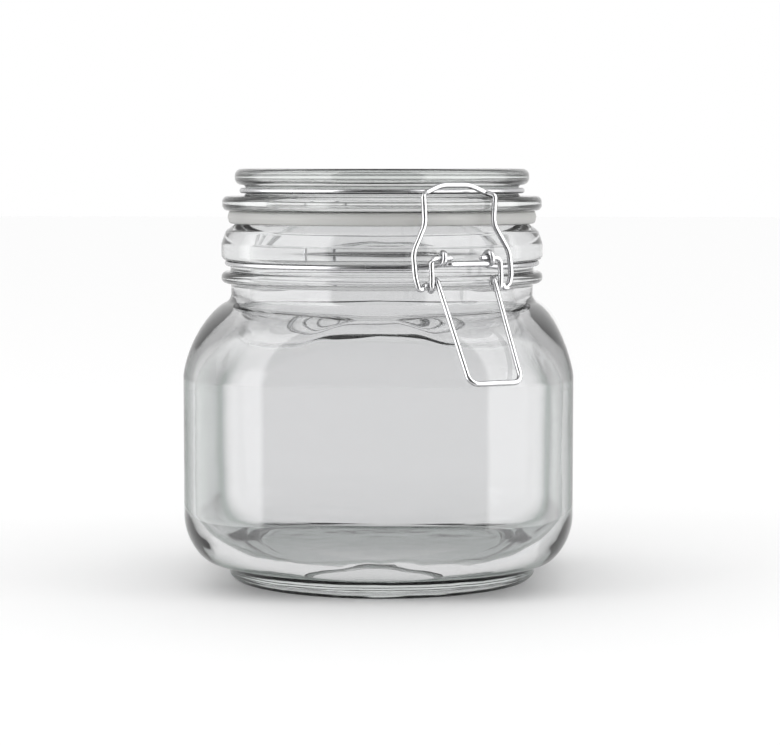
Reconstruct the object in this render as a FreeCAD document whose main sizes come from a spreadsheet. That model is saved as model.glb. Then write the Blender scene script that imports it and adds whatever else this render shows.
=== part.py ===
"""A clip-top preserving jar of clear glass, empty and shut: a squared body on a round foot, a round
mouth with two beads, a glass lid on a rubber ring, and a clasp of bent steel wire.

Frame: millimetres, +Z up, the origin on the jar's axis at the plane it stands on. The body's flat
sides face along X and Y. The clasp stands clasp_turn degrees from -Y towards +X, with the lid's
hinge straight behind it, so the wires are laid out in a clasp frame of their own (x along the
clasp's width, -y outwards through it) and turned into place together.
"""
import FreeCAD, Part
import math
import os
import re

import Sketcher
from FreeCAD import Placement, Rotation, Vector

DOC = FreeCAD.newDocument("preserving_jar")

DIMENSIONS = {
    # the glass body
    "foot_radius": 46.4,
    "foot_height": 5.0,
    "foot_recess": 1.4,
    "foot_rim": 6.0,
    "body_half_width": 57.4,
    "side_half_flat": 23.0,
    "base_curve": 17.0,
    "wall_height": 41.0,
    "shoulder_height": 21.0,
    "wall": 3.2,
    "floor_height": 5.6,
    # the neck and the mouth
    "neck_radius": 45.6,
    "neck_height": 5.3,
    "bead_radius": 48.5,
    "lower_bead_height": 3.5,
    "groove_height": 3.4,
    "groove_radius": 45.8,
    "finish_height": 11.0,
    "rim_radius": 44.0,
    "mouth_radius": 40.0,
    # the rubber ring and the lid
    "gasket_radius": 46.6,
    "gasket_height": 3.8,
    "lid_radius": 48.2,
    "flange_height": 4.4,
    "lid_groove_radius": 41.3,
    "lid_groove_height": 3.3,
    "lid_rim_radius": 44.4,
    "lid_rim_height": 4.9,
    "lid_recess": 2.0,
    "lid_recess_radius": 37.0,
    "lid_glass": 5.0,
    "plug_depth": 6.0,
    "plug_wall": 4.0,
    "plug_clearance": 0.9,
    # the wires
    "wire_radius": 0.8,
    "pin_clearance": 0.06,
    "ring_clearance": 0.1,
    "ring_lead_turn": 26.0,
    "ring_lead": 6.0,
    "hinge_lead_turn": 20.0,
    "clasp_turn": 30.0,
    "pivot_stand": 3.7,
    "pivot_drop": 9.0,
    "lever_half_width": 10.7,
    "crank_clearance": 0.48,
    "pin_reach": 6.4,
    "crank_drop": 7.6,
    "crank_in": 1.2,
    "handle_length": 32.8,
    "handle_clearance": 0.2,
    "handle_half_width": 8.3,
    "bail_spread": 0.9,
    "bail_flare": 4.9,
    "bail_clearance": 0.42,
    "bail_bar_stand": 1.7,
    "bail_seat": 0.5,
    "bail_arch": 2.2,
    "bail_crown": 4.6,
    "bail_dip": 3.0,
    "hinge_stand": 4.1,
    "hinge_rise": 0.8,
    "hinge_half_spacing": 7.0,
    "hinge_leg_gap": 3.0,
}

SHEET = DOC.addObject("Spreadsheet::Sheet", "Dimensions")
for row, (alias, number) in enumerate(DIMENSIONS.items(), start=1):
    SHEET.set(f"A{row}", alias)
    SHEET.set(f"B{row}", str(number))
    SHEET.setAlias(f"B{row}", alias)
DOC.recompute()


def bound(formula):
    """A formula in the sheet's aliases as an expression that names the sheet."""
    aliases = "|".join(sorted(DIMENSIONS, key=len, reverse=True))
    return re.sub(rf"\b({aliases})\b", r"Dimensions.\1", formula)


def size(formula):
    """What a formula in the sheet's aliases comes to, in millimetres or degrees."""
    found = SHEET.evalExpression(bound(formula))
    return float(getattr(found, "Value", found))


# Heights that several pieces share, as formulas in the sheet's aliases
WALL_START = "(foot_height + base_curve)"
WALL_END = f"({WALL_START} + wall_height)"
NECK_START = f"({WALL_END} + shoulder_height)"
LOWER_BEAD = f"({NECK_START} + neck_height)"
GROOVE = f"({LOWER_BEAD} + lower_bead_height)"
FINISH = f"({GROOVE} + groove_height)"
RIM = f"({FINISH} + finish_height)"
FLANGE = f"({RIM} + gasket_height)"
LID_GROOVE = f"({FLANGE} + flange_height)"
LID_RIM = f"({LID_GROOVE} + lid_groove_height)"
LID_TOP = f"({LID_RIM} + lid_rim_height)"
PLUG_RADIUS = "(mouth_radius - plug_clearance)"

# Places of the wires' joints in the clasp frame, in the same aliases
EYE_RADIUS = "(2 * wire_radius + pin_clearance)"
PIVOT_OUT = "(bead_radius + pivot_stand)"
PIVOT_UP = f"({RIM} - pivot_drop)"
BAR_HALF = "(lever_half_width - 2 * wire_radius - crank_clearance)"
EYE_ACROSS = f"({BAR_HALF} - 1.6 * wire_radius)"
CRANK_OUT = f"({PIVOT_OUT} - crank_in)"
CRANK_UP = f"({PIVOT_UP} - crank_drop)"
HINGE_OUT = "(bead_radius + hinge_stand)"
HINGE_UP = f"({RIM} + hinge_rise)"

# How far a curve of the body has come from the wall towards the neck or the foot (0 to 1), and the
# share of the way out from that round end to the wall that it still holds there
SHOULDER_STEPS = (0.0, 0.14, 0.32, 0.52, 0.72, 0.88, 1.0)
BASE_STEPS = (0.0, 0.2, 0.42, 0.62, 0.8, 0.92, 1.0)
ROUND_FLAT = 0.3


def shoulder_share(step):
    return (1 - step**1.35) ** 0.58


def base_share(step):
    return (1 - step**2) ** 0.8


# ---- sketches ----


def new_body(name):
    body = DOC.addObject("PartDesign::Body", name)
    body.Label = name
    return body


def new_sketch(body, name, role="XY_Plane", height=None):
    """A sketch on one of the body's own origin planes, lifted by a height formula."""
    sketch = body.newObject("Sketcher::SketchObject", name)
    plane = next(feature for feature in body.Origin.OriginFeatures if feature.Role == role)
    sketch.AttachmentSupport = [(plane, "")]
    sketch.MapMode = "FlatFace"
    if height:
        sketch.setExpression(".AttachmentOffset.Base.z", bound(height))
    return sketch


def hold(sketch, name, constraint, formula):
    """Adds a named driving constraint and binds it to a formula."""
    sketch.addConstraint(constraint)
    sketch.renameConstraint(sketch.ConstraintCount - 1, name)
    sketch.setExpression(f".Constraints.{name}", bound(formula))


def squared_section(body, name, height, half_width, half_flat):
    """A square with round corners: straight sides of 2 half_flat, each half_width from the axis."""
    sketch = new_sketch(body, name, height=height)
    across = size(half_width)
    flat = size(half_flat)
    radius = across - flat
    for quarter in range(4):
        turn = Rotation(Vector(0, 0, 1), 90 * quarter)
        corner = turn.multVec(Vector(flat, flat, 0))
        start = math.radians(90 * quarter)
        circle = Part.Circle(corner, Vector(0, 0, 1), radius)
        sketch.addGeometry(Part.ArcOfCircle(circle, start, start + math.pi / 2))
    for quarter in range(4):
        turn = Rotation(Vector(0, 0, 1), 90 * quarter)
        side = (turn.multVec(Vector(flat, across, 0)), turn.multVec(Vector(-flat, across, 0)))
        sketch.addGeometry(Part.LineSegment(*side))
    for quarter in range(4):
        line = 4 + quarter
        following = (quarter + 1) % 4
        sketch.addConstraint(Sketcher.Constraint("Tangent", quarter, 2, line, 1))
        sketch.addConstraint(Sketcher.Constraint("Tangent", line, 2, following, 1))
    signs = ((1, 1), (-1, 1), (-1, -1), (1, -1))
    for quarter, (right, up) in enumerate(signs):
        for kind, sign, letter in (("DistanceX", right, "x"), ("DistanceY", up, "y")):
            ends = (-1, 1, quarter, 3) if sign > 0 else (quarter, 3, -1, 1)
            hold(sketch, f"{letter}{quarter}", Sketcher.Constraint(kind, *ends, flat), half_flat)
        hold(
            sketch,
            f"corner{quarter}",
            Sketcher.Constraint("Radius", quarter, radius),
            f"{half_width} - {half_flat}",
        )
    return sketch


def outline(body, name, corners):
    """A closed outline of straight runs in the XZ plane, through (radius, height) formulas."""
    sketch = new_sketch(body, name, "XZ_Plane")
    places = [Vector(size(radius), size(height), 0) for radius, height in corners]
    count = len(corners)
    for index in range(count):
        sketch.addGeometry(Part.LineSegment(places[index], places[(index + 1) % count]))
    for index in range(count):
        sketch.addConstraint(Sketcher.Constraint("Coincident", index, 2, (index + 1) % count, 1))
    for index, (radius, height) in enumerate(corners):
        if size(radius) > 0:
            rule = Sketcher.Constraint("DistanceX", -1, 1, index, 1, places[index].x)
            hold(sketch, f"radius{index}", rule, radius)
        else:
            sketch.addConstraint(Sketcher.Constraint("PointOnObject", index, 1, -2))
        if size(height) > 0:
            rule = Sketcher.Constraint("DistanceY", -1, 1, index, 1, places[index].y)
            hold(sketch, f"height{index}", rule, height)
        else:
            sketch.addConstraint(Sketcher.Constraint("PointOnObject", index, 1, -1))
    return sketch


# ---- features ----


def turned(body, name, corners, kind="Revolution"):
    """An outline turned once round the axis, added (Revolution) or cut away (Groove)."""
    sketch = outline(body, f"{name}_outline", corners)
    feature = body.newObject(f"PartDesign::{kind}", name)
    feature.Profile = sketch
    feature.ReferenceAxis = (sketch, ["V_Axis"])
    feature.Angle = 360
    sketch.Visibility = False
    return feature


def lofted(body, name, sections, kind="AdditiveLoft"):
    """A smooth skin through squared sections, each (height, half width, half flat) in formulas."""
    sketches = [squared_section(body, f"{name}_{n}", *section) for n, section in enumerate(sections)]
    feature = body.newObject(f"PartDesign::{kind}", name)
    feature.Profile = sketches[0]
    feature.Sections = sketches[1:]
    return feature


def rounded(body, name, base, radius, places):
    """Rounds the circular edges of a feature that pass through (radius, height) formulas."""
    DOC.recompute()
    found = []
    for number, edge in enumerate(base.Shape.Edges, start=1):
        if isinstance(edge.Curve, Part.Circle):
            for across, height in places:
                centred = edge.Curve.Center.sub(Vector(0, 0, size(height))).Length < 0.01
                if centred and abs(edge.Curve.Radius - size(across)) < 0.01:
                    found.append(f"Edge{number}")
    feature = body.newObject("PartDesign::Fillet", name)
    feature.Base = (base, found)
    feature.setExpression("Radius", bound(radius))
    return feature


def between(inner, outer, share):
    """The formula that lies a share of the way from inner to outer."""
    return f"({inner} + ({outer} - {inner}) * {share:.4f})"


def shoulder_flat_share(step):
    return 1 - step**3


def base_flat_share(step):
    return 1 - step**10


def shoulder_sections(low, high, round_radius, half_width, steps=SHOULDER_STEPS):
    """Sections from the squared wall up to the round neck."""
    return [
        (
            between(low, high, step),
            between(round_radius, half_width, shoulder_share(step)),
            between(str(ROUND_FLAT), "side_half_flat", shoulder_flat_share(step)),
        )
        for step in steps
    ]


def base_sections(low, high, round_radius, half_width):
    """Sections from the round foot or floor up to the squared wall."""
    return [
        (
            between(high, low, step),
            between(round_radius, half_width, base_share(step)),
            between(str(ROUND_FLAT), "side_half_flat", base_flat_share(step)),
        )
        for step in reversed(BASE_STEPS)
    ]


# ---- the glass ----


def make_jar():
    body = new_body("jar_glass")
    lofted(body, "base", base_sections("foot_height", WALL_START, "foot_radius", "body_half_width"))
    wall_section = squared_section(body, "wall_section", WALL_START, "body_half_width", "side_half_flat")
    wall = body.newObject("PartDesign::Pad", "wall")
    wall.Profile = wall_section
    wall.setExpression("Length", "Dimensions.wall_height")
    lofted(body, "shoulder", shoulder_sections(WALL_END, NECK_START, "neck_radius", "body_half_width"))
    foot_inside = "(foot_radius - foot_rim)"
    turned(
        body,
        "foot",
        (
            ("0", "foot_recess"),
            (f"{foot_inside} - foot_recess", "foot_recess"),
            (foot_inside, "0"),
            ("foot_radius - foot_recess", "0"),
            ("foot_radius", "foot_recess"),
            ("foot_radius", "foot_height + wall"),
            ("0", "foot_height + wall"),
        ),
    )
    neck_inside = "(mouth_radius - wall)"
    finish = turned(
        body,
        "finish",
        (
            (neck_inside, f"{NECK_START} - wall"),
            ("neck_radius - 0.2", f"{NECK_START} - wall / 4"),
            ("neck_radius", LOWER_BEAD),
            ("bead_radius", LOWER_BEAD),
            ("bead_radius", GROOVE),
            ("groove_radius", GROOVE),
            ("groove_radius", FINISH),
            ("bead_radius", FINISH),
            ("bead_radius", between(FINISH, RIM, 0.45)),
            (between("rim_radius", "bead_radius", 0.7), between(FINISH, RIM, 0.8)),
            ("rim_radius", RIM),
            (neck_inside, RIM),
        ),
    )
    beads = [("bead_radius", LOWER_BEAD), ("bead_radius", GROOVE), ("bead_radius", FINISH)]
    rounded(body, "bead_rounds", finish, "lower_bead_height / 3", beads)
    # the space inside
    inside_wall = "(body_half_width - wall)"
    inside_start = f"({WALL_START} + wall / 2)"
    inside_end = f"({WALL_END} - wall / 2)"
    inside_neck = f"({NECK_START} - wall)"
    floor_radius = "(foot_radius - wall)"
    lofted(
        body,
        "inside_base",
        base_sections("floor_height", inside_start, floor_radius, inside_wall),
        "SubtractiveLoft",
    )
    inside_section = squared_section(body, "inside_section", inside_start, inside_wall, "side_half_flat")
    inside = body.newObject("PartDesign::Pocket", "inside_wall")
    inside.Profile = inside_section
    inside.Reversed = True
    inside.setExpression("Length", bound(f"{inside_end} - {inside_start}"))
    lofted(
        body,
        "inside_shoulder",
        shoulder_sections(inside_end, inside_neck, "mouth_radius", inside_wall),
        "SubtractiveLoft",
    )
    mouth = turned(
        body,
        "mouth",
        (
            ("0", inside_neck),
            ("mouth_radius", inside_neck),
            ("mouth_radius", f"{RIM} + wall"),
            ("0", f"{RIM} + wall"),
        ),
        "Groove",
    )
    rims = [("mouth_radius", RIM), ("rim_radius", RIM)]
    body.Tip = rounded(body, "rim_rounds", mouth, "wall / 4", rims)
    return body


def make_lid():
    body = new_body("lid_glass")
    underside = f"({FLANGE} - plug_depth)"
    lid = turned(
        body,
        "lid",
        (
            ("0", f"{LID_TOP} - lid_recess - lid_glass"),
            (f"{PLUG_RADIUS} - plug_wall", f"{LID_TOP} - lid_recess - lid_glass"),
            (f"{PLUG_RADIUS} - plug_wall", underside),
            (PLUG_RADIUS, underside),
            (PLUG_RADIUS, FLANGE),
            ("lid_radius", FLANGE),
            ("lid_radius", LID_GROOVE),
            ("lid_groove_radius", LID_GROOVE),
            ("lid_groove_radius", LID_RIM),
            ("lid_rim_radius", LID_RIM),
            ("lid_rim_radius", LID_TOP),
            ("lid_recess_radius + lid_recess", LID_TOP),
            ("lid_recess_radius", f"{LID_TOP} - lid_recess"),
            ("0", f"{LID_TOP} - lid_recess"),
        ),
    )
    flange_edges = [("lid_radius", FLANGE), ("lid_radius", LID_GROOVE)]
    flange_rounds = rounded(body, "flange_rounds", lid, "flange_height / 2.6", flange_edges)
    rim_edges = [("lid_rim_radius", LID_RIM), ("lid_rim_radius", LID_TOP)]
    body.Tip = rounded(body, "rim_rounds", flange_rounds, "lid_rim_height / 2.3", rim_edges)
    return body


def make_gasket():
    body = new_body("gasket")
    inside = f"({PLUG_RADIUS} + ring_clearance)"
    ring = turned(
        body,
        "ring",
        ((inside, RIM), ("gasket_radius", RIM), ("gasket_radius", FLANGE), (inside, FLANGE)),
    )
    edges = [("gasket_radius", RIM), ("gasket_radius", FLANGE)]
    body.Tip = rounded(body, "ring_rounds", ring, "gasket_height / 4", edges)
    return body


# ---- the wires, in the clasp frame: (across, outwards, up) ----


def bent_path(points, bends):
    """Straight runs through the points, joined by arcs of the given radii at the inner points."""
    edges = []
    start = points[0]
    for index in range(1, len(points) - 1):
        here = points[index]
        back = (points[index - 1] - here).normalize()
        ahead = (points[index + 1] - here).normalize()
        half_angle = back.getAngle(ahead) / 2
        bend = bends[index - 1]
        reach = bend / math.tan(half_angle)
        middle = here + (back + ahead).normalize() * (bend / math.sin(half_angle) - bend)
        first = here + back * reach
        last = here + ahead * reach
        edges.append(Part.LineSegment(start, first).toShape())
        edges.append(Part.Arc(first, middle, last).toShape())
        start = last
    edges.append(Part.LineSegment(start, points[-1]).toShape())
    return edges


def wire_along(edges):
    """The wire's round section swept along edges that run on from each other."""
    first = edges[0]
    start = first.valueAt(first.FirstParameter)
    section = Part.Wire(Part.makeCircle(size("wire_radius"), start, first.tangentAt(first.FirstParameter)))
    swept = Part.Wire(edges).makePipeShell([section], True, False)
    if swept.Volume < 0:
        swept.reverse()
    return swept


def wire_run(name, shape):
    """One swept run of wire as an object of the document."""
    run = DOC.addObject("Part::Feature", name)
    run.Shape = shape
    run.Placement = Placement()
    return run


def place(across, out, up):
    """A point of the clasp frame, from numbers."""
    return Vector(across, -out, up)


def eye(name, across, out, up):
    """A turn of wire round a pin that lies across the clasp, with the pin's running clearance."""
    turn = DOC.addObject("Part::Torus", name)
    turn.setExpression("Radius1", bound("2 * wire_radius + pin_clearance"))
    turn.setExpression("Radius2", bound("wire_radius"))
    turn.Placement = Placement(Vector(), Rotation(Vector(1, 1, 1), 120))
    turn.setExpression(".Placement.Base.x", bound(across))
    turn.setExpression(".Placement.Base.y", bound(f"-({out})"))
    turn.setExpression(".Placement.Base.z", bound(up))
    return turn


def joined(name, pieces):
    """The pieces of one wire as one solid, turned with the clasp."""
    if len(pieces) == 1:
        whole = pieces[0]
    else:
        whole = DOC.addObject("Part::MultiFuse", name)
        whole.Shapes = pieces
    whole.Label = name
    whole.Placement = Placement(Vector(), Rotation(Vector(0, 0, 1), size("clasp_turn")))
    whole.setExpression(".Placement.Rotation.Angle", bound("clasp_turn"))
    return whole


def ring_point(radius, turn, up):
    """A point of a ring round the jar, turned by degrees from the clasp."""
    angle = math.radians(turn)
    return Vector(radius * math.sin(angle), -radius * math.cos(angle), up)


def ring_arc(radius, up, first_turn, last_turn):
    """The arc of a ring from one turn to another, in degrees from the clasp."""
    turns = (first_turn, (first_turn + last_turn) / 2, last_turn)
    return [Part.Arc(*[ring_point(radius, turn, up) for turn in turns]).toShape()]


def flipped(points):
    """The points' mirror images across the middle of the clasp, in reverse order."""
    return [Vector(-point.x, point.y, point.z) for point in reversed(points)]


def make_neck_ring():
    """The ring in the jar's groove. At the clasp it leads out to a straight bar with an eye at each
    end for the lever's pins, and behind it ends in two posts with an eye each for the lid's pins."""
    wire = size("wire_radius")
    radius = size("groove_radius + wire_radius + ring_clearance")
    up = size(f"{FINISH} - wire_radius - ring_clearance")
    out = size(PIVOT_OUT)
    bar_up = size(f"{PIVOT_UP} - {EYE_RADIUS}")
    bar_half = size(BAR_HALF)
    lead = size("ring_lead")
    front = size("ring_lead_turn")
    back = 180 - size("hinge_lead_turn")
    front_start = ring_point(radius, front, up)
    front_lead = front_start + ring_point(lead, front - 90, 0)
    back_start = ring_point(radius, back, up)
    back_lead = back_start + ring_point(lead, back + 90, 0)
    post_across = size("hinge_half_spacing")
    post_out = -size(HINGE_OUT)
    post_top = size(f"{HINGE_UP} - {EYE_RADIUS}")
    post = [back_start, back_lead, place(post_across, post_out, up), place(post_across, post_out, post_top)]
    inward = [
        place(bar_half, out, bar_up),
        place(bar_half + 2 * wire, out - 4 * wire, (up + bar_up) / 2),
        front_lead,
        front_start,
    ]
    post_bend = 2 * wire
    corner_bend = 1.3 * wire
    edges = bent_path(flipped(post), [post_bend] * 2)
    edges += ring_arc(radius, up, -back, -front)
    bar_bends = [post_bend, post_bend, corner_bend, corner_bend, post_bend, post_bend]
    edges += bent_path(flipped(inward) + inward, bar_bends)
    edges += ring_arc(radius, up, front, back)
    edges += bent_path(post, [post_bend] * 2)
    pieces = [wire_run("neck_ring_run", wire_along(edges))]
    for side, name in ((-1, "left"), (1, "right")):
        pieces.append(eye(f"pivot_eye_{name}", f"{side} * {EYE_ACROSS}", PIVOT_OUT, PIVOT_UP))
        pieces.append(eye(f"hinge_eye_{name}", f"{side} * hinge_half_spacing", f"-{HINGE_OUT}", HINGE_UP))
    return joined("neck_ring", pieces)


def make_lid_ring():
    """The ring in the lid's groove. Behind, its two ends cross the flange, turn down beside the neck
    ring's posts and turn in through their eyes as the hinge pins."""
    wire = size("wire_radius")
    radius = size("lid_groove_radius + wire_radius + ring_clearance")
    up = size(f"{LID_GROOVE} + lid_groove_height / 2")
    back = 180 - size("hinge_lead_turn")
    across = size("hinge_half_spacing + hinge_leg_gap")
    out = -size(HINGE_OUT)
    low = size(HINGE_UP)
    pin_end = size("hinge_half_spacing") - 2.5 * wire
    bend = 2 * wire
    start = ring_point(radius, back, up)
    lead = start + ring_point(2 * bend, back + 90, 0)
    leg = [start, lead, place(across, out, up), place(across, out, low), place(pin_end, out, low)]
    edges = bent_path(flipped(leg), [bend] * 3)
    edges += ring_arc(radius, up, -back, back)
    edges += bent_path(leg, [bend] * 3)
    return joined("lid_ring", [wire_run("lid_ring_run", wire_along(edges))])


def glass_reach(half_width, half_flat, half_span):
    """How far out a squared section comes within half_span of the clasp's middle plane."""
    back = Rotation(Vector(0, 0, 1), -size("clasp_turn"))
    corner_radius = half_width - half_flat
    reach = 0
    for degrees in range(360):
        angle = math.radians(degrees + 0.5)
        across = math.copysign(half_flat, math.cos(angle)) + corner_radius * math.cos(angle)
        ahead = math.copysign(half_flat, math.sin(angle)) + corner_radius * math.sin(angle)
        point = back.multVec(Vector(across, ahead, 0))
        if abs(point.x) <= half_span:
            reach = max(reach, -point.y)
    return reach


def handle_lean():
    """The steepest lean below level, in radians, at which the handle clears the whole shoulder."""
    keep = size("wire_radius + handle_clearance")
    steps = [step / 20 for step in range(21)]
    leans = []
    for section in shoulder_sections(WALL_END, NECK_START, "neck_radius", "body_half_width", steps):
        height, half_width, half_flat = map(size, section)
        out = glass_reach(half_width, half_flat, size("lever_half_width")) - size(CRANK_OUT)
        down = size(CRANK_UP) - height
        leans.append(math.atan2(down, out) - math.asin(keep / math.hypot(out, down)))
    return min(leans)


def make_lever():
    """Pins in through the neck ring's eyes, cranks down to an eye each for the bail, and from those
    eyes a tapered handle that leans out over the shoulder."""
    wire = size("wire_radius")
    half_width = size("lever_half_width")
    out = size(PIVOT_OUT)
    up = size(PIVOT_UP)
    crank_out = size(CRANK_OUT)
    crank_up = size(CRANK_UP)
    ring = size(EYE_RADIUS)
    crank = [
        place(half_width - size("pin_reach"), out, up),
        place(half_width, out, up),
        place(half_width, crank_out, crank_up + ring),
    ]
    length = size("handle_length")
    lean = handle_lean()
    grip_out = crank_out + length * math.cos(lean)
    grip = place(size("handle_half_width"), grip_out, crank_up - length * math.sin(lean))
    eye_middle = place(half_width, crank_out, crank_up)
    root = eye_middle + (grip - eye_middle).normalize() * ring
    pieces = []
    for side, name in ((-1, "left"), (1, "right")):
        arm = bent_path([Vector(side * point.x, point.y, point.z) for point in crank], [2 * wire])
        pieces.append(wire_run(f"crank_{name}", wire_along(arm)))
        pieces.append(eye(f"crank_eye_{name}", f"{side} * lever_half_width", CRANK_OUT, CRANK_UP))
    handle = bent_path(flipped([grip, root]) + [grip, root], [3 * wire] * 2)
    pieces.append(wire_run("handle", wire_along(handle)))
    return joined("lever", pieces)


def make_bail():
    """A bell-shaped loop: pins in through the lever's eyes, a dip and a flare round them, straight
    arms past the lid's flange, and a flat-topped arch hooked in over it."""
    wire = size("wire_radius")
    lever = size("lever_half_width")
    half_width = lever + size("bail_spread")
    flare = lever + size("bail_flare")
    out = size(CRANK_OUT)
    up = size(CRANK_UP)
    arm_radius = size("max(lid_radius; bead_radius) + wire_radius + bail_clearance")
    arm_out = math.sqrt(arm_radius**2 - half_width**2)
    bar_out = size("lid_rim_radius + bail_bar_stand")
    seat = size(f"{LID_GROOVE} + wire_radius + bail_seat")
    half = [
        place(size("bail_crown"), bar_out - wire / 3, seat + size("bail_arch")),
        place(half_width - 2.2 * wire, bar_out, seat),
        place(half_width, arm_out, seat - wire),
        place(half_width - 0.6 * wire, arm_out, size(FLANGE) - 4 * wire),
        place(flare, (arm_out + out) / 2, size(PIVOT_UP) + 2 * wire),
        place(flare, out, up + 3 * wire),
        place(lever + 4 * wire, out, up - size("bail_dip")),
        place(lever + 2.6 * wire, out, up),
        place(lever - 3 * wire, out, up),
    ]
    bends = [11 * wire, 2 * wire, 1.4 * wire, 9 * wire, 9 * wire, 9 * wire, 1.1 * wire, 1.1 * wire]
    points = flipped(half) + half
    run = wire_run("bail_run", wire_along(bent_path(points, bends[::-1] + bends)))
    return joined("bail", [run])


NODES = [make() for make in (
    make_jar, make_lid, make_gasket, make_neck_ring, make_lid_ring, make_lever, make_bail
)]
DOC.recompute()

for item in DOC.Objects:
    if "Invalid" in item.State or "Error" in item.State:
        raise SystemExit(f"{item.Name} failed: {item.State}")
for node in NODES:
    if node.Shape.isNull() or not node.Shape.isValid() or len(node.Shape.Solids) != 1:
        raise SystemExit(f"{node.Label} is not one valid solid")

os.makedirs("parts", exist_ok=True)
for node in NODES:
    node.Shape.exportStep(f"parts/{node.Label}.step")
    print(node.Label, round(node.Shape.Volume, 1), node.Shape.optimalBoundingBox(False))
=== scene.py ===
"""Looks of a clip-top preserving jar: pressed clear glass, a pale sealing ring and bright wire.

Lengths are worked out in millimetres and go into the meshes in metres. The clasp frame is
(across, outwards, up), turned CLASP_TURN degrees from the front about the jar's axis.
"""

import bpy
import numpy as np
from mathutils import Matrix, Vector


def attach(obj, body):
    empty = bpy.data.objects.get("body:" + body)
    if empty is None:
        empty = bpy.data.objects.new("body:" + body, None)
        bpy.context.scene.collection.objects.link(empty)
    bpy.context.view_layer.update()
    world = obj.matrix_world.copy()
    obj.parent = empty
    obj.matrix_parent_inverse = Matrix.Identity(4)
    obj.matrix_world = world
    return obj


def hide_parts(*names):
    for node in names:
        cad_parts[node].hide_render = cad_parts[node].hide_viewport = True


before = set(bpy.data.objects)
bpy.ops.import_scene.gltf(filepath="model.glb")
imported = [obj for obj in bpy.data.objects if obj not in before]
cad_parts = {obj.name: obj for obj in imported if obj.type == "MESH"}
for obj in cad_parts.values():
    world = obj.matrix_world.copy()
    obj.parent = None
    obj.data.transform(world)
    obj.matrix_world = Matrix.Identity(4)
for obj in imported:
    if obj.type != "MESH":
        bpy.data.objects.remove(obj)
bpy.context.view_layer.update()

MM = 0.001
TAU = 2 * np.pi

# ---- sizes of the glass ----
FOOT_RADIUS, FOOT_HEIGHT, FOOT_RECESS, FOOT_RIM = 46.4, 5.0, 1.4, 6.0
HALF_WIDTH, HALF_FLAT = 57.4, 23.0
WALL_START, WALL_END = 22.0, 63.0
NECK_START, NECK_RADIUS = 84.0, 45.6
BEAD_RADIUS, GROOVE_RADIUS = 48.5, 45.8
LOWER_BEAD, GROOVE, FINISH, RIM = 89.3, 92.8, 96.2, 107.2
RIM_RADIUS, MOUTH_RADIUS, WALL, FLOOR = 44.0, 40.0, 3.2, 5.6
FLANGE, LID_GROOVE, LID_RIM, LID_TOP = 111.0, 115.4, 118.7, 123.6
LID_RADIUS, LID_GROOVE_RADIUS, LID_RIM_RADIUS = 48.2, 41.3, 44.4
PLUG_RADIUS, PLUG_WALL, PLUG_DEPTH, LID_THICKNESS, LID_RECESS = 39.1, 4.0, 6.0, 5.0, 2.0
LID_RIM_INSIDE, LID_RECESS_RADIUS = 39.0, 37.0
GASKET_RADIUS, GASKET_GAP = 46.6, 0.1
INSIDE_FLOOR_RADIUS, FLOOR_DISH = 33.0, 0.3
WAVE_DEPTH = 0.05
ON_AXIS = 0.02

# ---- sizes of the wires: WIRE is the radius, and RING_FRONT and RING_BACK are degrees from the clasp ----
WIRE = 0.8
RING_GAP = 0.1
CLASP_TURN = np.radians(30.0)
EYE = 2 * WIRE + 0.06
RING_FRONT, RING_BACK = 26.0, 160.0
NECK_LEAD, LID_LEAD = 6.0, 3.8
POST_ACROSS, POST_COIL_END, HINGE_LEG_ACROSS, HINGE_PIN_END = 6.0, 8.1, 10.0, 5.0
GRIP_ACROSS = 8.3
PIVOT_OUT, PIVOT_UP = 52.2, 98.2
CRANK_OUT, CRANK_UP = 51.0, 90.6
HINGE_OUT, HINGE_UP = 52.6, 108.0
LEVER_HALF, EYE_ACROSS = 10.7, 7.34
HANDLE_LENGTH, HANDLE_LEAN = 32.8, np.radians(54.85)
BAIL_BENDS = (11, 2, 1.4, 9, 9, 9, 1.1, 1.1)

# ---- looks and studio: the levels that shaders read (GRAZING, FOOT_WAVES) and LAMP_AIM are in metres ----
WHITE = (1, 1, 1, 1)
GLASS_IOR, GLASS_DEPTH, GLASS_DENSITY = 1.52, (0.28, 0.38, 0.32, 1), 4.0
# Heights where the glass's painted edge shade is full and where it is gone.
GRAZING_FULL, GRAZING_NONE = 0.066, 0.08
FOOT_WAVES_FULL, FOOT_WAVES_NONE = 0.009, 0.02
FLOOR_HALF, FLOOR_UP = 6000.0, -0.05
SCREEN_RADIUS, SCREEN_LOW, SCREEN_HIGH = 190.0, 0.5, 400.0
SCREEN_STRENGTH, WALL_STRENGTH = 3.6, 1.2
LAMP_AIM = (0, 0, 0.06)


# ---- meshes from grids of points ----


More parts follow.
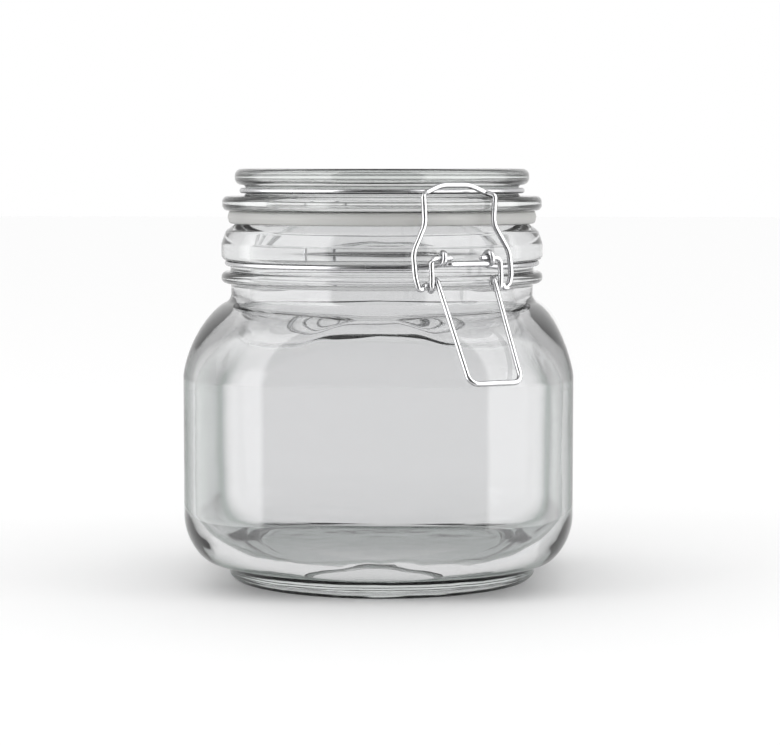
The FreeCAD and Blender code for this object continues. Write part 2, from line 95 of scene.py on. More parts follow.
def surface(name, points, round_columns=True, round_rows=False, close_start=False, close_end=False):
    """A mesh over a grid of points (rows, columns, 3) in millimetres.

    Each cell is a four-sided face. Columns, and rows too if asked, join up with the first again. A
    closed start or end draws that row in to one point at its middle.
    """
    rows, columns = points.shape[:2]
    corners = points.reshape(-1, 3)
    step_rows = np.arange(rows if round_rows else rows - 1)
    step_columns = np.arange(columns if round_columns else columns - 1)
    row, column = np.meshgrid(step_rows, step_columns, indexing="ij")
    next_row, next_column = (row + 1) % rows, (column + 1) % columns
    quads = np.stack(
        [
            row * columns + column,
            row * columns + next_column,
            next_row * columns + next_column,
            next_row * columns + column,
        ],
        axis=-1,
    ).reshape(-1, 4)
    faces = quads.tolist()
    ring = np.arange(columns)
    for wanted, index in ((close_start, 0), (close_end, rows - 1)):
        if wanted:
            middle = len(corners)
            corners = np.vstack([corners, points[index].mean(axis=0)])
            around = index * columns + ring
            after = index * columns + (ring + 1) % columns
            fan = [after, around] if index == 0 else [around, after]
            faces += np.stack([*fan, np.full(columns, middle)], axis=-1).tolist()
    mesh = bpy.data.meshes.new(name)
    mesh.from_pydata((corners * MM).tolist(), [], faces)
    mesh.validate()
    if turned_inside_out(corners, quads):
        mesh.flip_normals()
    mesh.polygons.foreach_set("use_smooth", np.ones(len(mesh.polygons), dtype=bool))
    mesh.update()
    piece = bpy.data.objects.new(name, mesh)
    bpy.context.scene.collection.objects.link(piece)
    return piece


def turned_inside_out(corners, quads):
    """Whether the faces enclose a negative volume: a sixth of the sum of the triple products."""
    one, two, three, four = (corners[quads[:, index]] for index in range(4))
    first = np.einsum("ij,ij->i", one, np.cross(two, three)).sum()
    second = np.einsum("ij,ij->i", one, np.cross(three, four)).sum()
    return first + second < 0


# ---- profiles and paths ----


def rounded(points, radii, steps=7):
    """Straight runs through points with an arc of each inner corner's radius.

    The arc touches both runs at radius / tan(half the corner's angle) from the corner.
    """
    points = np.asarray(points, dtype=float)
    parts = [points[:1]]
    for index, radius in enumerate(radii, start=1):
        here = points[index]
        back = points[index - 1] - here
        ahead = points[index + 1] - here
        back_way, ahead_way = back / np.linalg.norm(back), ahead / np.linalg.norm(ahead)
        cosine = np.clip(back_way @ ahead_way, -1, 1)
        half = np.arccos(cosine) / 2
        if radius <= 0 or half > np.pi / 2 - 1e-3:
            parts.append(here[None])
            continue
        reach = radius / np.tan(half)
        bisector = (back_way + ahead_way) / np.linalg.norm(back_way + ahead_way)
        centre = here + bisector * radius / np.sin(half)
        start, end = here + back_way * reach - centre, here + ahead_way * reach - centre
        span = np.pi - 2 * half
        share = np.linspace(0, 1, max(3, steps))[:, None]
        arc = start * np.sin((1 - share) * span) + end * np.sin(share * span)
        parts.append(centre + arc / np.sin(span))
    parts.append(points[-1:])
    return np.vstack(parts)


def resampled(path, gap):
    """The path with points no further apart than gap, keeping every point that it has."""
    pieces = [path[:1]]
    for start, end in zip(path[:-1], path[1:]):
        count = max(1, int(np.ceil(np.linalg.norm(end - start) / gap)))
        share = np.linspace(0, 1, count + 1)[1:, None]
        pieces.append(start + (end - start) * share)
    return np.vstack(pieces)


def squared_radius(angle, half_width, half_flat):
    """Distance from the axis to a square with round corners, at an angle.

    On the flat it is half_width / cos; on the corner's arc it is the far crossing of the ray with
    the circle of radius half_width - half_flat about (half_flat, half_flat).
    """
    folded = np.abs((angle + np.pi / 4) % (np.pi / 2) - np.pi / 4)
    cosine, sine = np.cos(folded), np.sin(folded)
    corner = half_width - half_flat
    arc = half_flat * (cosine + sine) + np.sqrt(
        np.maximum(corner**2 - (half_flat * (cosine - sine)) ** 2, 0)
    )
    return np.where(half_width * sine <= half_flat * cosine, half_width / cosine, arc)


def softened(profile, corner, reach, steps=12):
    """The profile with one of its rows rounded off: a curve bent towards that row joins the places
    that lie reach before and after it, (1-t)^2 a + 2t(1-t) b + t^2 c."""
    along = np.concatenate([[0], np.cumsum(np.linalg.norm(np.diff(profile, axis=0), axis=1))])
    first, last = along[corner] - reach, along[corner] + reach
    ends = np.stack([np.interp([first, last], along, column) for column in profile.T], axis=-1)
    share = np.linspace(0, 1, steps)[:, None]
    bend = (1 - share) ** 2 * ends[0] + 2 * share * (1 - share) * profile[corner] + share**2 * ends[1]
    return np.vstack([profile[along < first], bend, profile[along > last]])


def turned_surface(name, profile, columns=256, unevenness=None, **closing):
    """The profile (half width, height, half flat) carried round the axis."""
    angle = np.linspace(0, TAU, columns, endpoint=False)
    half_width, height, half_flat = (profile[:, index][:, None] for index in range(3))
    radius = squared_radius(angle[None], half_width, half_flat)
    if unevenness is not None:
        radius = radius + unevenness(angle[None], height, half_width)
    points = np.stack(
        [radius * np.cos(angle), radius * np.sin(angle), np.broadcast_to(height, radius.shape)], axis=-1
    )
    return surface(name, points, **closing)


def place(across, out, up):
    """A point of the clasp frame, turned into the jar's."""
    cosine, sine = np.cos(CLASP_TURN), np.sin(CLASP_TURN)
    across, out, up = np.broadcast_arrays(across, out, up)
    return np.stack([across * cosine + out * sine, across * sine - out * cosine, up], axis=-1).astype(float)


def tube(name, path, radius=WIRE, sides=20, gap=0.6):
    """A round wire along a path, its ends drawn in to half balls.

    The section stands across the path's direction on two axes that come from one slanted guide, and
    its radius at a distance d from the nearer end is r sqrt(1 - (1 - d / r)^2).
    """
    path = resampled(path, gap)
    step = np.linalg.norm(np.diff(path, axis=0), axis=1)
    path = path[np.concatenate([[True], step > 1e-6])]
    along = np.concatenate([[0], np.cumsum(np.linalg.norm(np.diff(path, axis=0), axis=1))])
    cap = radius - radius * np.cos(np.linspace(0, np.pi / 2, 6))
    straight = along[(along > radius) & (along < along[-1] - radius)]
    stations = np.unique(np.concatenate([cap, straight, along[-1] - cap]))
    middle = np.stack([np.interp(stations, along, path[:, index]) for index in range(3)], axis=-1)
    way = np.gradient(middle, stations, axis=0)
    way /= np.linalg.norm(way, axis=1, keepdims=True)
    guide = np.array([0.43, 0.29, 0.855])
    first = np.cross(way, guide)
    first /= np.linalg.norm(first, axis=1, keepdims=True)
    second = np.cross(way, first)
    inset = np.minimum(stations, along[-1] - stations)
    girth = radius * np.sqrt(np.clip(1 - (1 - np.clip(inset / radius, 0, 1)) ** 2, 1e-4, 1))
    turn = np.linspace(0, TAU, sides, endpoint=False)
    points = middle[:, None] + girth[:, None, None] * (
        first[:, None] * np.cos(turn)[None, :, None] + second[:, None] * np.sin(turn)[None, :, None]
    )
    return surface(name, points, close_start=True, close_end=True)


# ---- shader maths ----


class Socket:
    """A socket of a node tree whose arithmetic adds Math nodes."""

    def __init__(self, tree, link):
        self.tree, self.link = tree, link

    def node(self, kind, inputs=None, output=0, **settings):
        """Any node: its settings first, then the values or links of its sockets."""
        made = self.tree.nodes.new(kind)
        for key, setting in settings.items():
            if key == "stops":
                ramp = made.color_ramp.elements
                while len(ramp) < len(setting):
                    ramp.new(0.5)
                for element, (position, colour) in zip(ramp, setting):
                    element.position, element.color = position, colour
            else:
                setattr(made, key, setting)
        for key, given in (inputs or {}).items():
            if isinstance(given, Socket):
                self.tree.links.new(given.link, made.inputs[key])
            elif given is not None:
                made.inputs[key].default_value = given
        return Socket(self.tree, made.outputs[output])

    def math(self, operation, *others):
        """This socket and others through one Math node."""
        return self.node("ShaderNodeMath", dict(enumerate((self, *others))), operation=operation)

    def __add__(self, other):
        return self.math("ADD", other)

    def __mul__(self, other):
        return self.math("MULTIPLY", other)

    def __rsub__(self, other):
        return self.node("ShaderNodeMath", {0: other, 1: self}, operation="SUBTRACT")

    __radd__ = __add__


def start(material):
    """A material's or world's tree with only its output left, as a socket to build from."""
    material.use_nodes = True
    tree = material.node_tree
    for node in list(tree.nodes):
        if "OUTPUT" not in node.type:
            tree.nodes.remove(node)
    return Socket(tree, None)


def finish_with(root, shader):
    """The shader linked to the tree's surface output."""
    output = next(node for node in root.tree.nodes if "OUTPUT" in node.type)
    root.tree.links.new(shader.link, output.inputs["Surface"])


def noise(root, place_on, scale, detail):
    """Fractal noise over a piece's own coordinates."""
    return root.node("ShaderNodeTexNoise", {"Vector": place_on, "Scale": scale, "Detail": detail})


def blend(root, factor, one, other):
    """One colour where the factor is 0, the other where it is 1."""
    return root.node("ShaderNodeMix", {"Factor": factor, "A": one, "B": other}, output=2, data_type="RGBA")


def glass_material(name, tint, edge_tint, painted_edge_shade_tint, painted_edge_shade_start, roughness):
    """Clear pressed glass: a hair of colour that wanders, the faint waves of the mould, stronger at the foot,
    and painted shade: a darker colour where the wall is seen at a grazing angle below the neck, standing in
    for the dark edges that refraction through the glass gives."""
    material = bpy.data.materials.new(name)
    root = start(material)
    place_on = root.node("ShaderNodeTexCoord", output="Object")
    waves = noise(root, place_on, 70.0, 1.0)
    colour = blend(root, noise(root, place_on, 18.0, 2.0), (*tint, 1), (*edge_tint, 1))
    grazing = root.node("ShaderNodeLayerWeight", {"Blend": 0.5}, output="Facing")
    up = root.node("ShaderNodeSeparateXYZ", {0: place_on}, output="Z")
    below_neck = root.node(
        "ShaderNodeMapRange", {"Value": up, "From Min": GRAZING_NONE, "From Max": GRAZING_FULL}
    )
    # Painted shade: the colour darkens where the wall is seen edge-on below the neck, standing in for the
    # dark edges that refraction through the glass gives.
    rim = below_neck * root.node(
        "ShaderNodeMapRange",
        {"Value": grazing, "From Min": painted_edge_shade_start, "From Max": 0.8, "To Min": 0.0, "To Max": 1.0},
        interpolation_type="SMOOTHSTEP",
    )
    foot_share = root.node(
        "ShaderNodeMapRange",
        {"Value": up, "From Min": FOOT_WAVES_NONE, "From Max": FOOT_WAVES_FULL, "To Min": 0.0, "To Max": 4.0},
    )
    relief = waves + noise(root, place_on, 95.0, 1.0) * foot_share
    bump = root.node("ShaderNodeBump", {"Height": relief, "Strength": 0.12, "Distance": 0.0006})
    shader = root.node(
        "ShaderNodeBsdfPrincipled",
        {
            "Base Color": blend(root, rim, colour, (*painted_edge_shade_tint, 1)),
            "Roughness": roughness,
            "IOR": GLASS_IOR,
            "Specular IOR Level": 0.75,
            "Transmission Weight": 1.0,
            "Normal": bump,
        },
    )
    finish_with(root, shader)
    depth = root.node("ShaderNodeVolumeAbsorption", {"Color": GLASS_DEPTH, "Density": GLASS_DENSITY})
    output = next(node for node in root.tree.nodes if "OUTPUT" in node.type)
    root.tree.links.new(depth.link, output.inputs["Volume"])
    return material


def rubber_material():
    """Pale moulded rubber: soft mottling, a fine skin and a dull sheen."""
    material = bpy.data.materials.new("sealing_rubber")
    root = start(material)
    place_on = root.node("ShaderNodeTexCoord", output="Object")
    mottle = noise(root, place_on, 60.0, 4.0)
    skin = noise(root, place_on, 2200.0, 2.0)
    colour = blend(root, mottle, (0.62, 0.62, 0.6, 1), (0.74, 0.74, 0.72, 1))
    bump = root.node("ShaderNodeBump", {"Height": skin, "Strength": 0.25, "Distance": 0.0001})
    shader = root.node(
        "ShaderNodeBsdfPrincipled",
        {
            "Base Color": colour,
            "Roughness": 0.38 + mottle * 0.12,
            "Transmission Weight": 0.35,
            "Normal": bump,
        },
    )
    finish_with(root, shader)
    return material


def wire_material():
    """Bright drawn steel: fine draw marks, dull spots and a slight change of tone."""
    material = bpy.data.materials.new("bright_wire")
    root = start(material)
    place_on = root.node("ShaderNodeTexCoord", output="Object")
    tone = noise(root, place_on, 90.0, 3.0)
    marks = noise(root, place_on, 1500.0, 3.0)
    colour = blend(root, tone, (0.45, 0.45, 0.46, 1), (0.6, 0.6, 0.61, 1))
    bump = root.node("ShaderNodeBump", {"Height": marks, "Strength": 0.2, "Distance": 0.00008})
    shader = root.node(
        "ShaderNodeBsdfPrincipled",
        {"Base Color": colour, "Metallic": 1.0, "Roughness": 0.2 + tone * 0.14, "Normal": bump},
    )
    finish_with(root, shader)
    return material


# ---- the glass ----


def base_curve(low, high, round_radius, half_width, fullness=0.8):
    """From the round foot up to the squared wall: the share of the way out is
    (1 - step^2)^fullness."""
    step = np.sin(np.linspace(np.pi / 2, 0, 40))
    share = np.clip(1 - step**2, 0, 1) ** fullness
    return np.stack(
        [
            round_radius + (half_width - round_radius) * share,
            high + (low - high) * step,
            HALF_FLAT * (1 - step**10),
        ],
        axis=-1,
    )


def shoulder_curve(low, high, round_radius, half_width, fullness=0.58):
    """From the squared wall up to the round neck: the share still held is
    (1 - step^1.35)^fullness."""
    step = np.sin(np.linspace(0, np.pi / 2, 44))
    share = np.clip(1 - step**1.35, 0, 1) ** fullness
    return np.stack(
        [
            round_radius + (half_width - round_radius) * share,
            low + (high - low) * step,
            HALF_FLAT * (1 - step**3),
        ],
        axis=-1,
    )


def flat_free(profile):
    """A turned profile (radius, height) with no flats, as rows (half width, height, half flat)."""
    return np.column_stack([profile, np.zeros(len(profile))])


def wall_rows(low, high, half_width, count=14):
    """Even rows up the straight wall, without its first and last."""
    height = np.linspace(low, high, count)[1:-1]
    return np.column_stack([np.full_like(height, half_width), height, np.full_like(height, HALF_FLAT)])


def pressed_unevenness(angle, height, half_width):
    """The inside's slow waves round and up the wall, which fade out at the mouth and the floor:
    WAVE_DEPTH (sin(3a + h/9) sin(h/13 + 1) + 0.4 sin(7a - h/6 + 2))."""
    inside = np.clip((RIM - 16 - height) / 20, 0, 1) * np.clip(half_width / 30, 0, 1)
    slow = np.sin(3 * angle + height / 9) * np.sin(height / 13 + 1)
    quick = np.sin(7 * angle - height / 6 + 2) * 0.4
    return WAVE_DEPTH * inside * (slow + quick)


def make_jar():
    """Foot, squared body, shoulder, neck and rim outside, then mouth, shoulder, wall and floor inside,
    as one profile with a flat's half length for each row."""
    foot = rounded(
        [
            (0, FOOT_RECESS + 0.6),
            (FOOT_RADIUS - FOOT_RIM - FOOT_RECESS, FOOT_RECESS),
            (FOOT_RADIUS - FOOT_RIM, 0),
            (FOOT_RADIUS - FOOT_RECESS, 0),
            (FOOT_RADIUS, FOOT_RECESS),
            (FOOT_RADIUS, FOOT_HEIGHT),
        ],
        [1.2, 0.9, 1.2, 1.2],
    )
    neck = rounded(
        [
            (NECK_RADIUS, NECK_START),
            (NECK_RADIUS, LOWER_BEAD),
            (BEAD_RADIUS, LOWER_BEAD),
            (BEAD_RADIUS, GROOVE),
            (GROOVE_RADIUS, GROOVE),
            (GROOVE_RADIUS, FINISH),
            (BEAD_RADIUS, FINISH),
            (BEAD_RADIUS, FINISH + 0.45 * (RIM - FINISH)),
            (RIM_RADIUS + 0.7 * (BEAD_RADIUS - RIM_RADIUS), FINISH + 0.8 * (RIM - FINISH)),
            (RIM_RADIUS, RIM),
            (MOUTH_RADIUS, RIM),
            (MOUTH_RADIUS, NECK_START + 6),
        ],
        [0.6, 1.5, 1.5, 0.5, 0.5, 1.5, 2.5, 2.2, 1.2, 1.4],
    )
    inside_neck = NECK_START - WALL
    inside_wall = HALF_WIDTH - WALL
    inside_start, inside_end = WALL_START + WALL / 2, WALL_END - WALL / 2
    share = np.linspace(0.94, 0, 12)
    floor = np.column_stack([INSIDE_FLOOR_RADIUS * share, FLOOR + FLOOR_DISH * (1 - share) ** 1.5])
    outer = np.vstack(
        [
            flat_free(resampled(foot, 4)),
            base_curve(FOOT_HEIGHT, WALL_START, FOOT_RADIUS, HALF_WIDTH)[1:],
            wall_rows(WALL_START, WALL_END, HALF_WIDTH),
            shoulder_curve(WALL_END, NECK_START, NECK_RADIUS, HALF_WIDTH),
        ]
    )
    corner = len(outer) - 1
    outer = softened(np.vstack([outer, flat_free(resampled(neck, 3))[1:-1]]), corner, 2.6)
    inner = np.vstack(
        [
            [(MOUTH_RADIUS, inside_neck + 8, 0)],
            shoulder_curve(inside_end, inside_neck, MOUTH_RADIUS, inside_wall, 0.65)[::-1],
            wall_rows(inside_start, inside_end, inside_wall)[::-1],
            base_curve(FLOOR, inside_start, INSIDE_FLOOR_RADIUS, inside_wall, 0.66)[::-1],
            flat_free(floor),
        ]
    )
    inner = softened(inner, 1, 7.9)
    profile = np.vstack([outer, inner])
    profile[0, 0] = profile[-1, 0] = ON_AXIS
    split = len(outer)
    row = np.arange(len(profile))[:, None]

    def waves(angle, height, half_width):
        return np.where(row >= split, pressed_unevenness(angle, height, half_width), 0)

    return turned_surface("jar", profile, columns=240, unevenness=waves, close_start=True, close_end=True)


def make_lid():
    """Plug, flange, groove for the wire and thick rim round a recessed disc."""
    underside = FLANGE - PLUG_DEPTH
    disc_low = LID_TOP - LID_RECESS - LID_THICKNESS
    outline = rounded(
        [
            (ON_AXIS, disc_low),
            (PLUG_RADIUS - PLUG_WALL, disc_low),
            (PLUG_RADIUS - PLUG_WALL, underside),
            (PLUG_RADIUS, underside),
            (PLUG_RADIUS, FLANGE),
            (LID_RADIUS, FLANGE),
            (LID_RADIUS, LID_GROOVE),
            (LID_GROOVE_RADIUS, LID_GROOVE),
            (LID_GROOVE_RADIUS, LID_RIM),
            (LID_RIM_RADIUS, LID_RIM),
            (LID_RIM_RADIUS, LID_TOP),
            (LID_RIM_INSIDE, LID_TOP),
            (LID_RECESS_RADIUS, LID_TOP - LID_RECESS),
            (ON_AXIS, LID_TOP - LID_RECESS),
        ],
        [3.0, 1.6, 1.6, 0.8, 1.7, 1.7, 0.8, 0.8, 2.1, 2.1, 1.6, 1.6],
    )
    return turned_surface(
        "lid", flat_free(resampled(outline, 2.5)), columns=240, close_start=True, close_end=True
    )


def make_gasket():
    """The ring between the glasses, a little fuller in the middle of its edge."""
    inside = PLUG_RADIUS + GASKET_GAP
    outline = rounded(
        [
            (inside, RIM + 1),
            (inside, RIM),
            (GASKET_RADIUS - 0.5, RIM),
            (GASKET_RADIUS, (RIM + FLANGE) / 2),
            (GASKET_RADIUS - 0.5, FLANGE),
            (inside, FLANGE),
            (inside, RIM + 1),
        ],
        [0.3, 0.8, 1.2, 0.8, 0.3],
    )[:-1]
    return turned_surface("sealing_ring", flat_free(outline), columns=180, round_rows=True)


# ---- the wires ----


def ring_run(radius, up, first, last, count=150):
    """Points of a ring round the jar between two turns, in degrees from the clasp."""
    turn = np.radians(np.linspace(first, last, count))
    return np.column_stack([radius * np.sin(turn), radius * np.cos(turn), np.full_like(turn, up)])


def ring_lead(radius, up, turn, length):
    """Where a ring's run stops, in degrees from the clasp, and the place a length further on along
    its tangent there; a negative length looks back."""
    sine, cosine = np.sin(np.radians(turn)), np.cos(np.radians(turn))
    end = (radius * sine, radius * cosine, up)
    return end, (end[0] + length * cosine, end[1] - length * sine, up)


def across_mirror(path):
    """A path of the clasp frame mirrored across its middle plane."""
    return path * [-1, 1, 1]


def mirrored(points):
    """Points of the clasp frame mirrored across its middle plane, in reverse order."""
    return [(-across, out, up) for across, out, up in reversed(points)]


def bent(points, bends):
    """A path through points of the clasp frame with an arc of each radius at its corners."""
    return rounded(points, bends, steps=9)


def turned_with_clasp(path):
    """A whole path of the clasp frame, turned into the jar's."""
    return place(*path.T)


def coil(across, out, up, first, last):
    """Turns of wire round a pin that lies across the clasp, between two angles in degrees.

    The angle runs from outwards towards up, and the wire shifts evenly from the first place across
    to the second.
    """
    angle = np.radians(np.linspace(first, last, max(8, int(abs(last - first) / 12))))
    shift = np.linspace(across[0], across[1], len(angle))
    return np.column_stack([shift, out + EYE * np.cos(angle), up + EYE * np.sin(angle)])


def make_neck_ring():
    """Ring in the groove, leads out under the lever's pins, a coil round each, a bar between them,
    and behind two posts that end in a coil round the lid's pins."""
    radius, up = GROOVE_RADIUS + WIRE + RING_GAP, FINISH - WIRE - RING_GAP
    low = PIVOT_UP - EYE
    start, lead = ring_lead(radius, up, RING_FRONT, -NECK_LEAD)
    rear, rear_lead = ring_lead(radius, up, RING_BACK, NECK_LEAD)
    post_out = EYE - HINGE_OUT
    post = [rear, rear_lead, (POST_ACROSS, post_out, up), (POST_ACROSS, post_out, HINGE_UP - 0.3)]
    outer, inner = EYE_ACROSS + WIRE, EYE_ACROSS - WIRE
    dip = (outer + 0.4, PIVOT_OUT - 4.4, (up + low) / 2)
    lead_out = [start, lead, dip, (outer, PIVOT_OUT - 0.2, low)]
    half_bar = [(inner, PIVOT_OUT + 0.2, low), (inner, PIVOT_OUT + 1.7, low)]
    bar = half_bar + mirrored(half_bar)
    rear_coil = coil((POST_ACROSS, POST_COIL_END), -HINGE_OUT, HINGE_UP, 0, 420)
    front_coil = coil((outer, inner), PIVOT_OUT, PIVOT_UP, 270, 630)
    path = np.vstack(
        [
            across_mirror(rear_coil)[::-1],
            across_mirror(bent(post, [1.9, 1.9]))[::-1],
            ring_run(radius, up, -RING_BACK, -RING_FRONT)[1:-1],
            across_mirror(bent(lead_out, [1.9, 1.9])),
            across_mirror(front_coil)[1:-1],
            bent(bar[::-1], [1.3, 1.3]),
            front_coil[::-1][1:-1],
            bent(lead_out, [1.9, 1.9])[::-1],
            ring_run(radius, up, RING_FRONT, RING_BACK)[1:-1],
            bent(post, [1.9, 1.9]),
            rear_coil[1:],
        ]
    )
    return tube("neck_wire", turned_with_clasp(path))


def make_lid_ring():
    """Ring in the lid's groove; behind, both ends turn down and in as the hinge pins."""
    radius, up = LID_GROOVE_RADIUS + WIRE + RING_GAP, (LID_GROOVE + LID_RIM) / 2
    start, lead = ring_lead(radius, up, RING_BACK, LID_LEAD)
    leg = [
        start,
        lead,
        (HINGE_LEG_ACROSS, -HINGE_OUT, up),
        (HINGE_LEG_ACROSS, -HINGE_OUT, HINGE_UP),
        (HINGE_PIN_END, -HINGE_OUT, HINGE_UP),
    ]
    half = bent(leg, [1.9] * 3)
    path = np.vstack([across_mirror(half)[::-1], ring_run(radius, up, -RING_BACK, RING_BACK)[1:-1], half])
    return tube("lid_wire", turned_with_clasp(path))


def make_lever():
    """Pins in through the neck wire's coils, cranks down, a coil round each of the bail's pins and a
    tapered handle that leans out over the shoulder."""
    crank_across, handle_across = LEVER_HALF + 0.5, LEVER_HALF - 1.45
    grip = (
        GRIP_ACROSS,
        CRANK_OUT + HANDLE_LENGTH * np.cos(HANDLE_LEAN),
        CRANK_UP - HANDLE_LENGTH * np.sin(HANDLE_LEAN),
    )
    leave = np.degrees(np.arccos(EYE / HANDLE_LENGTH) - HANDLE_LEAN)
    eye = coil((crank_across, handle_across), CRANK_OUT, CRANK_UP, 0, leave - 360)
    crank = [
        (LEVER_HALF - 6.4, PIVOT_OUT, PIVOT_UP),
        (crank_across, PIVOT_OUT, PIVOT_UP),
        (crank_across, CRANK_OUT + EYE, CRANK_UP + 2.6),
        (crank_across, CRANK_OUT + EYE, CRANK_UP + 0.2),
    ]
    half = np.vstack([bent(crank, [1.6, 1.6]), eye[1:]])
    ends = np.array([eye[-1], grip, across_mirror(np.array(grip)), across_mirror(eye[-1])])
    path = np.vstack([half, rounded(ends, [2.85, 2.85], steps=9)[1:-1], across_mirror(half)[::-1]])
    return tube("lever_wire", turned_with_clasp(path))


def make_bail():
    """A bell-shaped loop hooked in over the lid's flange, with its pins in the lever's coils."""
    half_width, flare = LEVER_HALF + 0.9, LEVER_HALF + 4.9
    arm_out = np.sqrt((BEAD_RADIUS + WIRE + 0.42) ** 2 - half_width**2)
    bar_out, seat = LID_RIM_RADIUS + 1.7, LID_GROOVE + WIRE + 0.5
    half = [
        (4.6, bar_out - WIRE / 3, seat + 2.2),
        (half_width - 2.2 * WIRE, bar_out, seat),
        (half_width, arm_out, seat - WIRE),
        (half_width - 0.6 * WIRE, arm_out, FLANGE - 4 * WIRE),
        (flare, (arm_out + CRANK_OUT) / 2, PIVOT_UP + 2 * WIRE),
        (flare, CRANK_OUT, CRANK_UP + 3 * WIRE),
        (LEVER_HALF + 4 * WIRE, CRANK_OUT, CRANK_UP - 3),
        (LEVER_HALF + 2.6 * WIRE, CRANK_OUT, CRANK_UP),
        (LEVER_HALF - 3 * WIRE, CRANK_OUT, CRANK_UP),
    ]
    bends = [WIRE * share for share in BAIL_BENDS]
    return tube("bail_wire", turned_with_clasp(bent(mirrored(half) + half, bends[::-1] + bends)))


jar = make_jar()
lid = make_lid()
gasket = make_gasket()
neck_wire = make_neck_ring()
lid_wire = make_lid_ring()
lever_wire = make_lever()
bail_wire = make_bail()

# Each glass's darkest tint is painted shade, laid on where its wall is seen edge-on below the neck.
JAR_GLASS = glass_material(
    "jar_glass_clear",
    tint=(0.842, 0.84, 0.848),
    edge_tint=(0.825, 0.828, 0.832),
    painted_edge_shade_tint=(0.1, 0.13, 0.115),
    painted_edge_shade_start=0.4,
    roughness=0.0,
)
LID_GLASS = glass_material(
    "lid_glass_clear",
    tint=(0.95, 0.95, 0.952),
    edge_tint=(0.93, 0.934, 0.933),
    painted_edge_shade_tint=(0.9, 0.91, 0.905),
    painted_edge_shade_start=0.5,
    roughness=0.05,
)
RUBBER = rubber_material()
BRIGHT_WIRE = wire_material()

for piece, material, node, body, slot in (
    (jar, JAR_GLASS, "jar_glass", "jar", "glass"),
    (lid, LID_GLASS, "lid_glass", "lid", "glass"),
    (gasket, RUBBER, "gasket", "lid", "rubber"),
    (neck_wire, BRIGHT_WIRE, "neck_ring", "jar", "wire"),
    (lid_wire, BRIGHT_WIRE, "lid_ring", "lid", "wire"),
    (lever_wire, BRIGHT_WIRE, "lever", "lever", "wire"),
    (bail_wire, BRIGHT_WIRE, "bail", "bail", "wire"),
):
    piece.data.materials.append(material)
    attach(piece, body)
    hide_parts(node)

# ---- the studio ----


def grey(level):
    """An even grey of one level."""
    return (level, level, level, 1)


# What mirrors see from the front (0) round to the back (1): dark by the camera, bright at the sides
CARDS = [
    (0.0, grey(0.02)),
    (0.065, grey(0.02)),
    (0.085, WHITE),
    (0.55, grey(0.8)),
    (0.66, grey(0.2)),
    (1.0, grey(0.26)),
]
# What glass lets through from level (0) round to straight up (1)
BACKDROP = [(0.0, WHITE), (0.2, grey(0.97)), (0.5, grey(0.6)), (1.0, grey(0.7))]


def ray(root, kind):
    """1 for rays of one kind, else 0."""
    return root.node("ShaderNodeLightPath", output=f"Is {kind} Ray")


def mirror_ray(root):
    """1 for rays off a surface only: rays through glass count as glossy too."""
    return ray(root, "Glossy") * (1.0 - ray(root, "Transmission"))


def flat_square(name, half, up):
    """A level square of four corners."""
    near, far = ([(-half, side, up), (half, side, up)] for side in (-half, half))
    return surface(name, np.array([near, far]), round_columns=False)


floor = flat_square("studio_floor", FLOOR_HALF, FLOOR_UP)
floor_material = bpy.data.materials.new("studio_white")
floor_material.cycles.emission_sampling = "NONE"
root = start(floor_material)
shadowed = root.node("ShaderNodeBsdfDiffuse", {"Color": grey(0.99)})
glow = root.node("ShaderNodeEmission", {"Color": WHITE, "Strength": 1.0})
seen_through = ray(root, "Transmission") * 0.75
finish_with(root, root.node("ShaderNodeMixShader", {0: seen_through, 1: shadowed, 2: glow}))
floor.data.materials.append(floor_material)

screen_rows = np.array([[SCREEN_RADIUS, SCREEN_LOW, 0], [SCREEN_RADIUS, SCREEN_HIGH, 0]])
screen = turned_surface("studio_screen", screen_rows, columns=96)
screen_material = bpy.data.materials.new("studio_cards")
screen_material.cycles.emission_sampling = "NONE"
root = start(screen_material)
place_on = root.node("ShaderNodeTexCoord", output="Object")
ahead = root.node("ShaderNodeSeparateXYZ", {0: place_on}, output="Y") * (0.5 / (SCREEN_RADIUS * MM)) + 0.5
cards = root.node("ShaderNodeValToRGB", {0: ahead}, stops=CARDS)
lit = root.node("ShaderNodeEmission", {"Color": cards, "Strength": SCREEN_STRENGTH})
clear = root.node("ShaderNodeBsdfTransparent", {"Color": WHITE})
finish_with(root, root.node("ShaderNodeMixShader", {0: mirror_ray(root), 1: clear, 2: lit}))
screen.data.materials.append(screen_material)

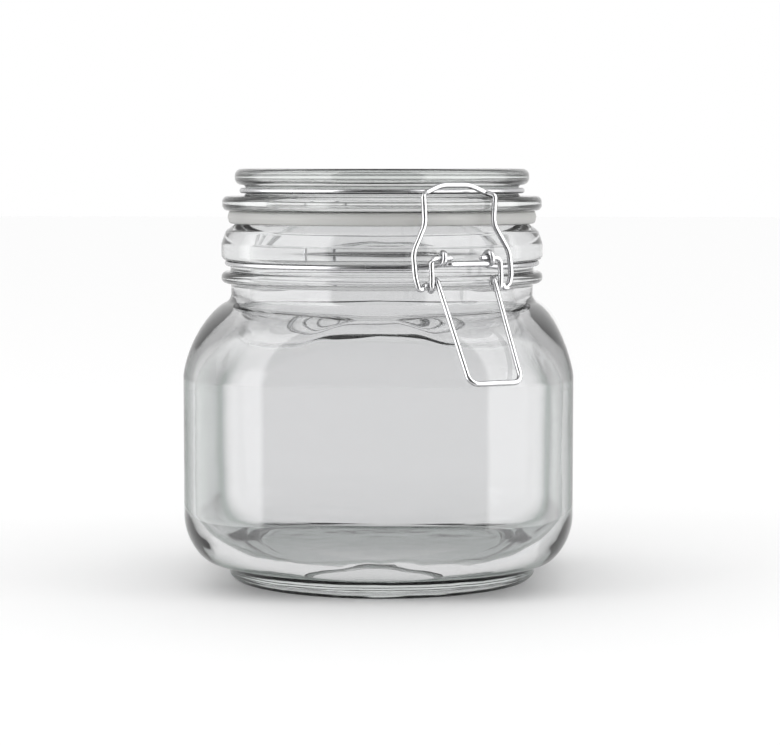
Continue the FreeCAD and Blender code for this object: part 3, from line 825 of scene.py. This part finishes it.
world = bpy.data.worlds.new("studio")
bpy.context.scene.world = world
root = start(world)
direction = root.node("ShaderNodeTexCoord", output="Generated")
height = root.node("ShaderNodeSeparateXYZ", {0: direction}, output="Z")
ahead = root.node("ShaderNodeSeparateXYZ", {0: direction}, output="Y")
backdrop = root.node("ShaderNodeValToRGB", {0: height}, stops=BACKDROP)
cards = root.node("ShaderNodeValToRGB", {0: ahead * 0.5 + 0.5}, stops=CARDS)
walls = root.node("ShaderNodeBackground", {"Color": cards, "Strength": WALL_STRENGTH})
behind = blend(root, ray(root, "Camera"), backdrop, WHITE)
around = blend(root, ray(root, "Diffuse"), behind, WHITE)
open_air = root.node("ShaderNodeBackground", {"Color": around, "Strength": 1.0})
finish_with(root, root.node("ShaderNodeMixShader", {0: mirror_ray(root), 1: open_air, 2: walls}))


def softbox(name, across, towards, up, width, height, power):
    """A soft lamp that looks at the jar's middle from a place given in metres."""
    lamp = bpy.data.lights.new(name, "AREA")
    lamp.shape, lamp.size, lamp.size_y, lamp.energy = "RECTANGLE", width, height, power
    piece = bpy.data.objects.new(name, lamp)
    piece.location = (across, towards, up)
    aim = Vector(LAMP_AIM) - piece.location
    piece.rotation_euler = aim.to_track_quat("-Z", "Y").to_euler()
    bpy.context.scene.collection.objects.link(piece)


softbox("softbox_left", -0.75, -0.6, 0.7, 0.45, 0.5, 1.0)
softbox("softbox_right", 0.85, -0.3, 0.6, 0.35, 0.5, 0.7)

# ---- the camera ----
DISTANCE, EYE_HEIGHT = 0.776, 0.1232
AROUND, DIP = np.radians(2.8), np.radians(4.517)
SENSOR, LENS, SHIFT = 36.0, 118.3385, 0.0102564
camera_data = bpy.data.cameras.new("camera")
camera_data.sensor_width, camera_data.lens, camera_data.shift_x = SENSOR, LENS, SHIFT
camera = bpy.data.objects.new("camera", camera_data)
camera.location = (DISTANCE * np.sin(AROUND), -DISTANCE * np.cos(AROUND), EYE_HEIGHT)
camera.rotation_euler = (np.pi / 2 - DIP, 0, AROUND)
bpy.context.scene.collection.objects.link(camera)
bpy.context.scene.camera = camera
bpy.context.scene.view_settings.view_transform = "Standard"
